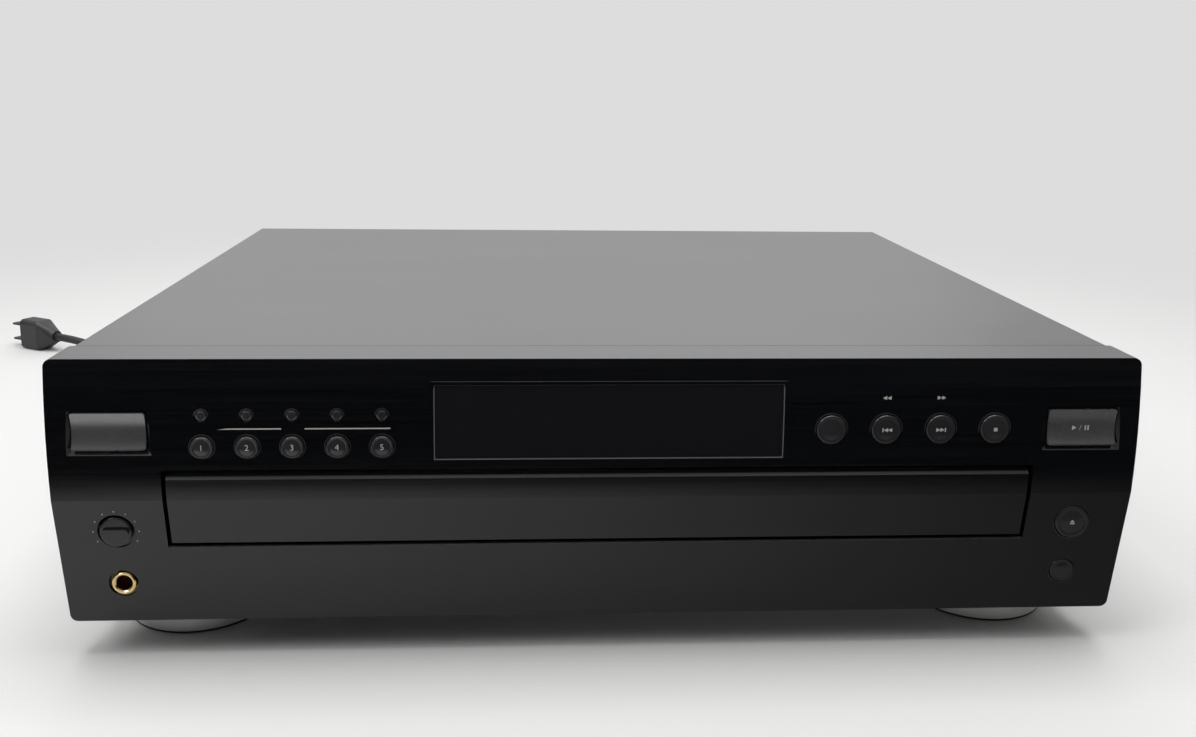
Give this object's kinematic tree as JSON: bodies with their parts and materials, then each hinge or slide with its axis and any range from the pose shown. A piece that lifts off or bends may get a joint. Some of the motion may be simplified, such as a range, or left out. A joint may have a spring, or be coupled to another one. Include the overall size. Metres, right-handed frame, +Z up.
{
  "type": "multi disc cd changer",
  "caption": "Full-width disc changer with a carousel on a wide motor drawer, a display window, push buttons, a level knob and a mains cord.",
  "frame": {"origin": "middle of the body, from front to rear jacks, on the surface that it stands on", "axes": "+X to the right of someone facing it, +Y from the front to the rear, +Z up"},
  "size_m": [0.6864, 0.5743, 0.1285],
  "materials": {
    "cover": "satin dark grey",
    "steel": "zinc plated sheet",
    "panel": "satin black",
    "fascia": "gloss black with fine level brushing",
    "window": "smoked",
    "foot": "satin silver",
    "pad": "matte",
    "screw": "black oxide",
    "key": "satin silver-grey",
    "button": "gloss black",
    "knob": "gloss black",
    "jack": "gold plated",
    "board": "resin board",
    "tube": "clear",
    "core": "varnished core",
    "jack_block": "moulded",
    "ribbon": "flat cable",
    "cord": "satin black",
    "moulding": "satin black",
    "mechanism": "moulded dark grey",
    "gear": "natural moulding",
    "cam": "natural moulding",
    "motor": "plated can",
    "belt": "matte",
    "rod": "ground",
    "deck": "moulded black"
  },
  "bodies": {
    "case": {"top_cover": "cover", "chassis_base": "steel", "rear_panel": "panel", "front_fascia": "fascia", "display_window": "window", "feet": "foot", "foot_pads": "pad", "case_screws": "screw", "headphone_jack": "jack", "front_boards": "board", "display_tube": "tube", "main_board": "board", "power_transformer": "core", "rear_jacks": "jack_block", "ribbon_cable": "ribbon", "strain_relief": "moulding", "mains_cord": "cord", "cord_coil": "cord", "mains_plug": "moulding", "loading_motors": "motor", "loading_belt": "belt", "loader_frame": "mechanism", "clamp_bridge": "steel"},
    "drawer": {"drawer": "mechanism", "drawer_front": "fascia", "carousel_cap": "mechanism", "carousel_motor": "motor"},
    "carousel": {"carousel": "mechanism"},
    "carousel_gear": {"carousel_gear": "gear"},
    "drive_pinion": {"drive_pinion": "gear"},
    "loading_gear": {"loading_gear": "gear"},
    "motor_pulley": {"motor_pulley": "gear"},
    "deck": {"pickup_deck": "deck", "deck_motors": "motor", "guide_rods": "rod"},
    "cam": {"lift_cam": "cam"},
    "lift_gear": {"lift_gear": "gear"},
    "disc_table": {"disc_table": "mechanism"},
    "sled": {"pickup_sled": "deck"},
    "sled_gear": {"sled_gear": "gear"},
    "clamper": {"clamper": "mechanism"},
    "level_knob": {"level_knob": "knob"},
    "power_button": {"power_button": "key"},
    "play_pause_button": {"play_pause_button": "key"},
    "disc_button_1": {"disc_button_1": "button"},
    "disc_button_2": {"disc_button_2": "button"},
    "disc_button_3": {"disc_button_3": "button"},
    "disc_button_4": {"disc_button_4": "button"},
    "disc_button_5": {"disc_button_5": "button"},
    "call_button": {"call_button": "button"},
    "memory_button": {"memory_button": "button"},
    "random_button": {"random_button": "button"},
    "mode_button": {"mode_button": "button"},
    "repeat_button": {"repeat_button": "button"},
    "skip_button": {"skip_button": "button"},
    "search_back_button": {"search_back_button": "button"},
    "search_forward_button": {"search_forward_button": "button"},
    "stop_button": {"stop_button": "button"},
    "open_close_button": {"open_close_button": "button"},
    "exchange_button": {"exchange_button": "button"}
  },
  "joints": [
    {"name": "drawer_slide", "type": "slide", "parent": "case", "child": "drawer", "axis": [0, -1, 0], "range_m": [0, 0.235]},
    {"name": "carousel_spin", "type": "hinge", "parent": "drawer", "child": "carousel", "pos_m": [0, -0.00665, 0.075], "axis": [0, 0, 1], "continuous": true},
    {"name": "carousel_gear_spin", "type": "hinge", "parent": "drawer", "child": "carousel_gear", "pos_m": [-0.075, -0.00665, 0.067], "axis": [0, 0, 1], "continuous": true},
    {"name": "drive_pinion_spin", "type": "hinge", "parent": "case", "child": "drive_pinion", "pos_m": [0.1815, -0.14065, 0.05], "axis": [0, 0, 1], "range_deg": [-10, 1510]},
    {"name": "loading_gear_spin", "type": "hinge", "parent": "case", "child": "loading_gear", "pos_m": [0.19, -0.12593, 0.05], "axis": [0, 0, 1], "range_deg": [-3620, 20]},
    {"name": "motor_pulley_spin", "type": "hinge", "parent": "case", "child": "motor_pulley", "pos_m": [0.19, -0.08793, 0.051], "axis": [0, 0, 1], "range_deg": [-15700, 40]},
    {"name": "deck_lift", "type": "slide", "parent": "case", "child": "deck", "axis": [0, 0, 1], "range_m": [0, 0.0145]},
    {"name": "lift_cam_slide", "type": "slide", "parent": "case", "child": "cam", "axis": [1, 0, 0], "range_m": [0, 0.029]},
    {"name": "lift_gear_spin", "type": "hinge", "parent": "case", "child": "lift_gear", "pos_m": [0, 0.06535, 0.032], "axis": [0, 1, 0], "range_deg": [-5, 285]},
    {"name": "disc_table_spin", "type": "hinge", "parent": "deck", "child": "disc_table", "pos_m": [0, 0.09735, 0.065], "axis": [0, 0, 1], "continuous": true},
    {"name": "sled_slide", "type": "slide", "parent": "deck", "child": "sled", "axis": [0, 1, 0], "range_m": [0, 0.032]},
    {"name": "sled_gear_spin", "type": "hinge", "parent": "deck", "child": "sled_gear", "pos_m": [0.0256, 0.13835, 0.052], "axis": [0, 0, 1], "range_deg": [-420, 5]},
    {"name": "clamper_spin", "type": "hinge", "parent": "case", "child": "clamper", "pos_m": [0, 0.09735, 0.088], "axis": [0, 0, 1], "continuous": true},
    {"name": "level_knob_turn", "type": "hinge", "parent": "case", "child": "level_knob", "pos_m": [-0.1943, -0.18065, 0.0583], "axis": [0, 1, 0], "range_deg": [-140, 140]},
    {"name": "power_button_press", "type": "slide", "parent": "case", "child": "power_button", "axis": [0, 1, 0], "range_m": [0, 0.0008], "stiffness_N_per_m": 600},
    {"name": "play_pause_button_press", "type": "slide", "parent": "case", "child": "play_pause_button", "axis": [0, 1, 0], "range_m": [0, 0.0008], "stiffness_N_per_m": 600},
    {"name": "disc_button_1_press", "type": "slide", "parent": "case", "child": "disc_button_1", "axis": [0, 1, 0], "range_m": [0, 0.0008], "stiffness_N_per_m": 400},
    {"name": "disc_button_2_press", "type": "slide", "parent": "case", "child": "disc_button_2", "axis": [0, 1, 0], "range_m": [0, 0.0008], "stiffness_N_per_m": 400},
    {"name": "disc_button_3_press", "type": "slide", "parent": "case", "child": "disc_button_3", "axis": [0, 1, 0], "range_m": [0, 0.0008], "stiffness_N_per_m": 400},
    {"name": "disc_button_4_press", "type": "slide", "parent": "case", "child": "disc_button_4", "axis": [0, 1, 0], "range_m": [0, 0.0008], "stiffness_N_per_m": 400},
    {"name": "disc_button_5_press", "type": "slide", "parent": "case", "child": "disc_button_5", "axis": [0, 1, 0], "range_m": [0, 0.0008], "stiffness_N_per_m": 400},
    {"name": "call_button_press", "type": "slide", "parent": "case", "child": "call_button", "axis": [0, 1, 0], "range_m": [0, 0.0008], "stiffness_N_per_m": 400},
    {"name": "memory_button_press", "type": "slide", "parent": "case", "child": "memory_button", "axis": [0, 1, 0], "range_m": [0, 0.0008], "stiffness_N_per_m": 400},
    {"name": "random_button_press", "type": "slide", "parent": "case", "child": "random_button", "axis": [0, 1, 0], "range_m": [0, 0.0008], "stiffness_N_per_m": 400},
    {"name": "mode_button_press", "type": "slide", "parent": "case", "child": "mode_button", "axis": [0, 1, 0], "range_m": [0, 0.0008], "stiffness_N_per_m": 400},
    {"name": "repeat_button_press", "type": "slide", "parent": "case", "child": "repeat_button", "axis": [0, 1, 0], "range_m": [0, 0.0008], "stiffness_N_per_m": 400},
    {"name": "skip_button_press", "type": "slide", "parent": "case", "child": "skip_button", "axis": [0, 1, 0], "range_m": [0, 0.0008], "stiffness_N_per_m": 400},
    {"name": "search_back_button_press", "type": "slide", "parent": "case", "child": "search_back_button", "axis": [0, 1, 0], "range_m": [0, 0.0008], "stiffness_N_per_m": 400},
    {"name": "search_forward_button_press", "type": "slide", "parent": "case", "child": "search_forward_button", "axis": [0, 1, 0], "range_m": [0, 0.0008], "stiffness_N_per_m": 400},
    {"name": "stop_button_press", "type": "slide", "parent": "case", "child": "stop_button", "axis": [0, 1, 0], "range_m": [0, 0.0008], "stiffness_N_per_m": 400},
    {"name": "open_close_button_press", "type": "slide", "parent": "case", "child": "open_close_button", "axis": [0, 1, 0], "range_m": [0, 0.0008], "stiffness_N_per_m": 400},
    {"name": "exchange_button_press", "type": "slide", "parent": "case", "child": "exchange_button", "axis": [0, 1, 0], "range_m": [0, 0.0008], "stiffness_N_per_m": 400}
  ],
  "couplings": [
    {"joint": "carousel_gear_spin", "follows": "carousel_spin", "ratio": -5.25},
    {"joint": "drive_pinion_spin", "follows": "drawer_slide", "rad_per_m": 111.11},
    {"joint": "loading_gear_spin", "follows": "drawer_slide", "rad_per_m": -266.67},
    {"joint": "motor_pulley_spin", "follows": "drawer_slide", "rad_per_m": -1158.8},
    {"joint": "lift_cam_slide", "follows": "deck_lift", "ratio": 2},
    {"joint": "lift_gear_spin", "follows": "deck_lift", "rad_per_m": 333.33},
    {"joint": "sled_gear_spin", "follows": "sled_slide", "rad_per_m": -208.33}
  ]
}
